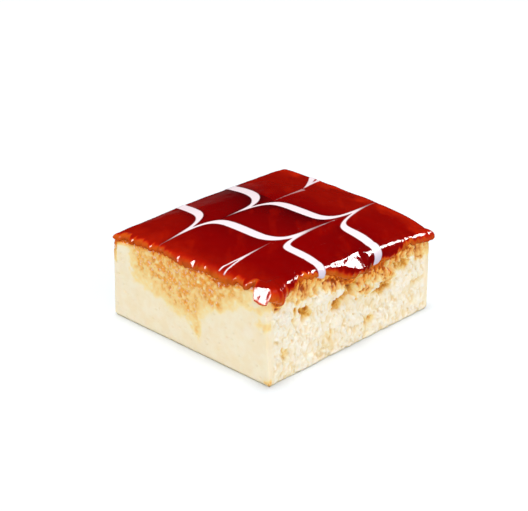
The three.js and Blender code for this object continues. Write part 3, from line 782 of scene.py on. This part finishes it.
def build_glaze():
    shell, past, level, side, along = glaze_grid()
    share_x, share_y, out_x, out_y = shell
    rim_points = shoulder_point(*shell, math.pi / 2, 0)
    flat = top_point(share_x, share_y, 0)
    reach = ragged_reach(side, along, rim_points)
    distance = reach * level
    front = front_skirt(share_x, *past)
    spread_x = flat[..., 0] + out_x * distance * ICING_SPREAD
    spread_y = flat[..., 1] + out_y * distance * ICING_SPREAD
    icing, thread = icing_depth(spread_x, spread_y)
    # On the front the icing ends a little above the middle of the skirt.
    straight_front = (past[1] < 0) & (past[0] == 0)
    icing = np.where(straight_front, np.minimum(icing, 1.8 - 4 * level), icing)

    bead = np.sqrt(1 - np.clip((level - BEAD_LEVEL) / (1 - BEAD_LEVEL), 0, 1) ** 2)
    wave = glaze_waves(flat, rim_points, share_x, share_y, distance, level) + swelling(side, along, level)
    ridge = ICING_RISE * smoothstep(icing, -0.5, 0.6)
    offset = (GLAZE["gap"] + glaze_thickness(level, front) + wave + ridge) * bead + EDGE_OFFSET * (1 - bead)
    offset = np.maximum(offset, EDGE_OFFSET + 0.25 * bead)
    over_rim, on_top = past_rim(*shell, distance, offset), top_point(share_x, share_y, offset)
    points = flattened(np.where((level > 0)[..., None], over_rim, on_top)).reshape(-1, 3)

    index = np.arange(level.size).reshape(level.shape)
    faces = np.stack([index[:-1, :-1], index[1:, :-1], index[1:, 1:], index[:-1, 1:]], -1)
    edge = np.concatenate([index[:-1, 0], index[-1, :-1], index[1:, -1][::-1], index[0, 1:][::-1]])
    edge_shell = [part.reshape(-1)[edge] for part in shell]
    under_points, under_faces = glaze_underside(edge_shell, reach.reshape(-1)[edge], edge, len(points))

    shade, warm = glaze_tones(spread_x, spread_y)
    depth = caramel_depth(shell, flat, rim_points, side, reach, level, front)
    no_icing = -4.0
    # skirt is how far down the skirt a place is; it greys the icing there as painted shade.
    values = dict(
        shade=(shade, 0.0), warm=(warm, 0.0), icing=(np.clip(icing, no_icing, 4), no_icing),
        thread=(thread, 0.0), depth=(depth, 0.0), skirt=(smoothstep(level, 0.2, 0.7), 0.0),
    )
    attributes = {
        name: np.concatenate([value.reshape(-1), np.full(len(under_points), below)])
        for name, (value, below) in values.items()
    }
    points = np.concatenate([points, under_points])
    faces = faces.reshape(-1, 4).tolist() + under_faces
    return mesh_object("caramel_glaze_layer", points, faces, attributes)


# ---- materials ----
def new_material(name):
    material = bpy.data.materials.new(name)
    material.use_nodes = True
    nodes = material.node_tree.nodes
    return material, material.node_tree, nodes["Principled BSDF"]


def linear(red, green, blue):
    """A colour as seen, from 0 to 255, as the scene's linear values."""
    def channel(value):
        value /= 255
        return value / 12.92 if value <= 0.04045 else ((value + 0.055) / 1.055) ** 2.4
    return (channel(red), channel(green), channel(blue), 1.0)


def set_inputs(tree, node, values):
    """Sets a node's inputs by name, to a number or colour or to what another node puts out."""
    for name, value in values.items():
        if isinstance(value, bpy.types.NodeSocket):
            tree.links.new(value, node.inputs[name])
        else:
            node.inputs[name].default_value = value


def value_of(tree, name):
    node = tree.nodes.new("ShaderNodeAttribute")
    node.attribute_name = name
    return node.outputs["Fac"]


def math_node(tree, operation, first, second, clamp=False):
    node = tree.nodes.new("ShaderNodeMath")
    node.operation = operation
    node.use_clamp = clamp
    for socket, value in zip(node.inputs, (first, second)):
        if isinstance(value, (int, float)):
            socket.default_value = value
        else:
            tree.links.new(value, socket)
    return node.outputs[0]


def times(tree, first, second):
    return math_node(tree, "MULTIPLY", first, second)


def plus(tree, first, second):
    return math_node(tree, "ADD", first, second)


def remap(tree, value, low, high, to_low=0.0, to_high=1.0):
    node = tree.nodes.new("ShaderNodeMapRange")
    node.interpolation_type = "SMOOTHSTEP"
    limits = {"From Min": low, "From Max": high, "To Min": to_low, "To Max": to_high}
    set_inputs(tree, node, {"Value": value, **limits})
    return node.outputs["Result"]


def mix_colour(tree, share, first, second):
    """A mix of two colours, each a socket or a colour as seen."""
    node = tree.nodes.new("ShaderNodeMix")
    node.data_type = "RGBA"
    tree.links.new(share, node.inputs["Factor"])
    for socket, value in ((node.inputs["A"], first), (node.inputs["B"], second)):
        if isinstance(value, tuple):
            socket.default_value = linear(*value)
        else:
            tree.links.new(value, socket)
    return node.outputs["Result"]


def ramp(tree, value, stops):
    """A colour ramp over a value, from its places and the colours as seen there."""
    node = tree.nodes.new("ShaderNodeValToRGB")
    tree.links.new(value, node.inputs["Fac"])
    elements = node.color_ramp.elements
    while len(elements) < len(stops):
        elements.new(0.5)
    for element, (place, colour) in zip(elements, stops):
        element.position = place
        element.color = linear(*colour)
    return node.outputs["Color"]


def build_grain_group():
    """Noise in the piece's own coordinates, which both materials use at several sizes."""
    group = bpy.data.node_groups.new("grain", "ShaderNodeTree")
    group.interface.new_socket("Scale", in_out="INPUT", socket_type="NodeSocketVector")
    group.interface.new_socket("Detail", in_out="INPUT", socket_type="NodeSocketFloat")
    group.interface.new_socket("Fac", in_out="OUTPUT", socket_type="NodeSocketFloat")
    given = group.nodes.new("NodeGroupInput")
    result = group.nodes.new("NodeGroupOutput")
    coordinates = group.nodes.new("ShaderNodeTexCoord")
    mapping = group.nodes.new("ShaderNodeMapping")
    noise = group.nodes.new("ShaderNodeTexNoise")
    noise.inputs["Scale"].default_value = 1.0
    group.links.new(coordinates.outputs["Object"], mapping.inputs["Vector"])
    group.links.new(given.outputs["Scale"], mapping.inputs["Scale"])
    group.links.new(mapping.outputs["Vector"], noise.inputs["Vector"])
    group.links.new(given.outputs["Detail"], noise.inputs["Detail"])
    group.links.new(noise.outputs["Fac"], result.inputs["Fac"])
    return group


GRAIN = build_grain_group()


def noise_of(tree, size_mm, detail=3.0, stretch=(1, 1, 1)):
    node = tree.nodes.new("ShaderNodeGroup")
    node.node_tree = GRAIN
    set_inputs(tree, node, {"Scale": [axis / (size_mm * MM) for axis in stretch], "Detail": detail})
    return node.outputs["Fac"]


def bump(tree, height, distance_mm, strength):
    node = tree.nodes.new("ShaderNodeBump")
    set_inputs(tree, node, {"Height": height, "Distance": distance_mm * MM, "Strength": strength})
    return node.outputs["Normal"]


def sponge_material():
    material, tree, shader = new_material("moist_cream_sponge")
    soak, painted_pit_shade = value_of(tree, "soak"), value_of(tree, "painted_pit_shade")
    torn_share, painted_cleft_shade = value_of(tree, "torn"), value_of(tree, "painted_cleft_shade")

    # Painted light: the torn faces are coloured whiter and cooler than the knife-cut front, standing for
    # the brighter light on the right face.
    cut = mix_colour(tree, remap(tree, noise_of(tree, 4.0), 0.3, 0.7), (253, 238, 209), (251, 231, 194))
    torn = mix_colour(tree, remap(tree, noise_of(tree, 2.0), 0.3, 0.7), (255, 246, 230), (252, 237, 211))
    # Painted shade: the pores are coloured a darker gold, where shade falls in them.
    pores = remap(tree, painted_pit_shade, -0.05, 0.75, 0.0, 0.75)
    cream = mix_colour(tree, pores, mix_colour(tree, torn_share, cut, torn), (245, 218, 160))

    # Painted shade: on the torn faces the hollows count as more deeply stained, so they darken as if
    # shaded.
    pit_shade_soak = times(tree, times(tree, painted_pit_shade, 0.8), torn_share)
    soak_and_pit_shade = plus(tree, soak, times(tree, pit_shade_soak, remap(tree, soak, 0.0, 0.4)))
    stain_and_pore_shade = ramp(tree, soak_and_pit_shade, [
        (0, (253, 236, 202)), (0.15, (255, 228, 164)), (0.45, (255, 210, 130)),
        (0.75, (255, 187, 92)), (0.92, (252, 158, 56)), (1, (226, 114, 26)),
    ])
    stained_shade_colour = ramp(tree, soak_and_pit_shade, [
        (0, (240, 205, 130)), (0.3, (238, 180, 90)), (0.7, (216, 130, 44)), (1, (170, 66, 14)),
    ])
    # Painted shade: the stain is darker in the pores, most on the torn faces.
    stained_pore_shade = times(tree, pores, remap(tree, torn_share, 0.0, 1.0, 0.45, 1.0))
    stain_and_pore_shade = mix_colour(tree, stained_pore_shade, stain_and_pore_shade, stained_shade_colour)
    colour = mix_colour(tree, remap(tree, soak_and_pit_shade, 0.0, 0.2), cream, stain_and_pore_shade)

    # Painted highlight: pale pinkish specks on the soaked cut face stand for glints of light on wet crumbs.
    painted_glints = remap(tree, noise_of(tree, 0.9, 2.0), 0.56, 0.66, 0.0, 0.65)
    glint_place = math_node(tree, "SUBTRACT", remap(tree, soak, 0.35, 0.7), torn_share, clamp=True)
    colour = mix_colour(tree, times(tree, painted_glints, glint_place), colour, (255, 226, 206))

    # Painted shade: the clefts and pores are coloured golden brown, darkest where they lie deepest.
    hollow_shade = plus(tree, painted_cleft_shade, times(tree, painted_pit_shade, 0.9))
    hollow_shade = plus(tree, hollow_shade, remap(tree, noise_of(tree, 1.3, 4.0), 0.2, 0.8, -0.45, 0.45))
    cleft_shade_colour = ramp(tree, times(tree, hollow_shade, 0.4), [
        (0, (253, 236, 196)), (0.3, (248, 214, 132)), (0.6, (226, 158, 50)), (1, (172, 88, 12)),
    ])
    colour = mix_colour(tree, remap(tree, painted_cleft_shade, 0.15, 0.8), colour, cleft_shade_colour)

    grain = times(tree, noise_of(tree, 0.55, 4.0), remap(tree, soak, 0.1, 0.6, 1.0, 2.6))
    set_inputs(tree, shader, {
        "Base Color": colour,
        "Roughness": remap(tree, soak, 0.2, 0.7, 0.62, 0.2),
        "Normal": bump(tree, grain, 0.25, 0.4),
        "Subsurface Weight": 0.25,
        "Subsurface Radius": (1.0, 0.7, 0.4),
        "Subsurface Scale": 0.7 * MM,
        "Specular IOR Level": 0.4,
    })
    return material


def glaze_material():
    material, tree, shader = new_material("wet_caramel_glaze")
    depth = value_of(tree, "depth")
    caramel = ramp(tree, depth, [
        (0, (220, 112, 14)), (0.25, (214, 82, 5)), (0.5, (200, 44, 3)),
        (0.75, (162, 10, 2)), (1, (134, 1, 1)),
    ])
    caramel = mix_colour(tree, times(tree, value_of(tree, "warm"), 0.8), caramel, (200, 36, 6))
    mottle = remap(tree, noise_of(tree, 6.0, 5.0, (1, 1.6, 1)), 0.35, 0.7)
    caramel = mix_colour(tree, times(tree, mottle, 0.3), caramel, (120, 2, 3))
    # Painted shade: the caramel darkens in front of the icing lines and close to them.
    caramel = mix_colour(tree, times(tree, value_of(tree, "shade"), 0.95), caramel, (70, 0, 4))

    cover = remap(tree, value_of(tree, "icing"), -0.22, 0.22)
    thread_fade = remap(tree, value_of(tree, "thread"), 0.0, 10.0, 1.0, 0.3)
    # Painted shade: the icing turns lavender grey down the skirt, on its less lit side.
    icing_with_skirt_shade = mix_colour(tree, value_of(tree, "skirt"), (246, 230, 235), (216, 206, 222))
    colour = mix_colour(tree, times(tree, cover, thread_fade), caramel, icing_with_skirt_shade)

    gloss = remap(tree, noise_of(tree, 3.0), 0.3, 0.7, 0.06, 0.12)
    dull_where_thin = remap(tree, depth, 0.2, 0.95, 0.1, 0.0)
    set_inputs(tree, shader, {
        "Base Color": colour,
        "Roughness": plus(tree, gloss, dull_where_thin),
        "Normal": bump(tree, noise_of(tree, 2.2, 2.0), 0.12, 0.3),
        "IOR": 1.45,
    })
    return material


# ---- pieces ----
def dress(piece, material, node):
    piece.data.materials.append(material)
    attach(piece, "root")
    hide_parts(node)


dress(build_sponge(), sponge_material(), "sponge")
dress(build_glaze(), glaze_material(), "caramel_glaze")


# ---- stage, light and camera, in metres ----
FLOOR_HALF_SIZE = 1.5
LAMP_AIM = (0, 0, 0.02)


def build_floor():
    mesh = bpy.data.meshes.new("floor")
    half = FLOOR_HALF_SIZE
    corners = [(-half, -half, 0), (half, -half, 0), (half, half, 0), (-half, half, 0)]
    mesh.from_pydata(corners, [], [(0, 1, 2, 3)])
    floor = new_object("floor", mesh)
    material, tree, shader = new_material("white_table")
    looks = {"Base Color": (0.78, 0.82, 0.855, 1), "Roughness": 0.9, "Specular IOR Level": 0.0}
    set_inputs(tree, shader, looks)
    mesh.materials.append(material)
    floor.visible_glossy = False


def new_lamp(name, data, direction, distance):
    """A lamp in a direction from the cake's middle, looking at it."""
    lamp = new_object(name, data)
    aim = Vector(LAMP_AIM)
    lamp.location = aim + Vector(direction).normalized() * distance
    lamp.rotation_euler = (aim - lamp.location).to_track_quat("-Z", "Y").to_euler()
    return lamp


def sun_light(name, direction, strength, spread, colour):
    """An even, soft light that shows no highlight of its own."""
    data = bpy.data.lights.new(name, "SUN")
    data.energy = strength
    data.angle = math.radians(spread)
    data.color = colour
    new_lamp(name, data, direction, 1.0).visible_glossy = False


def gloss_card(name, direction, distance, size, radiance, colour=(1, 1, 1)):
    """A bright card that only shows as a highlight in the glaze."""
    data = bpy.data.lights.new(name, "AREA")
    data.shape = "RECTANGLE"
    data.size, data.size_y = size
    data.energy = radiance * math.pi * size[0] * size[1]
    data.color = colour
    new_lamp(name, data, direction, distance).visible_diffuse = False


def build_world(fill, seen, glossy):
    """An even white studio: how bright it is as light, to the camera and in the glaze."""
    world = bpy.data.worlds.new("studio")
    bpy.context.scene.world = world
    world.use_nodes = True
    tree = world.node_tree
    background = tree.nodes["Background"]
    paths = tree.nodes.new("ShaderNodeLightPath")
    strength = plus(tree, times(tree, paths.outputs["Is Camera Ray"], seen - fill), fill)
    shiny = times(tree, paths.outputs["Is Glossy Ray"], glossy - fill)
    tree.links.new(plus(tree, strength, shiny), background.inputs["Strength"])
    background.inputs["Color"].default_value = (1, 1, 1, 1)


def build_camera():
    azimuth, elevation = math.radians(CAMERA_AZIMUTH), math.radians(CAMERA_ELEVATION)
    back = Vector((math.sin(azimuth) * math.cos(elevation),
                   -math.cos(azimuth) * math.cos(elevation),
                   math.sin(elevation)))
    data = bpy.data.cameras.new("camera")
    data.lens = LENS
    data.sensor_width = SENSOR
    data.clip_start = 0.01
    camera = new_object("camera", data)
    aim = Vector(to_world(CAMERA_AIM))
    camera.location = aim + back * CAMERA_DISTANCE * MM
    camera.rotation_euler = (-back).to_track_quat("-Z", "Y").to_euler()
    bpy.context.scene.camera = camera


build_floor()
build_world(fill=0.81, seen=1.2, glossy=0.005)
sun_light("overhead", (0.0, 0.0, 1.0), 1.35, 14, (1, 1, 1))
sun_light("side_fill", (0.8, -0.35, 0.6), 0.42, 50, (1, 0.99, 0.98))
gloss_card("back_right_card", (0.42, 0.75, 0.50), 0.6, (0.14, 0.14), 30.0)
gloss_card("front_card", (-0.097, -0.917, 0.377), 0.6, (0.16, 0.16), 34.0)
gloss_card("haze_card", (-0.84, 0.52, 0.12), 0.8, (0.35, 0.16), 0.08, (1, 0.9, 0.85))
build_camera()

bpy.context.scene.view_settings.view_transform = "Standard"
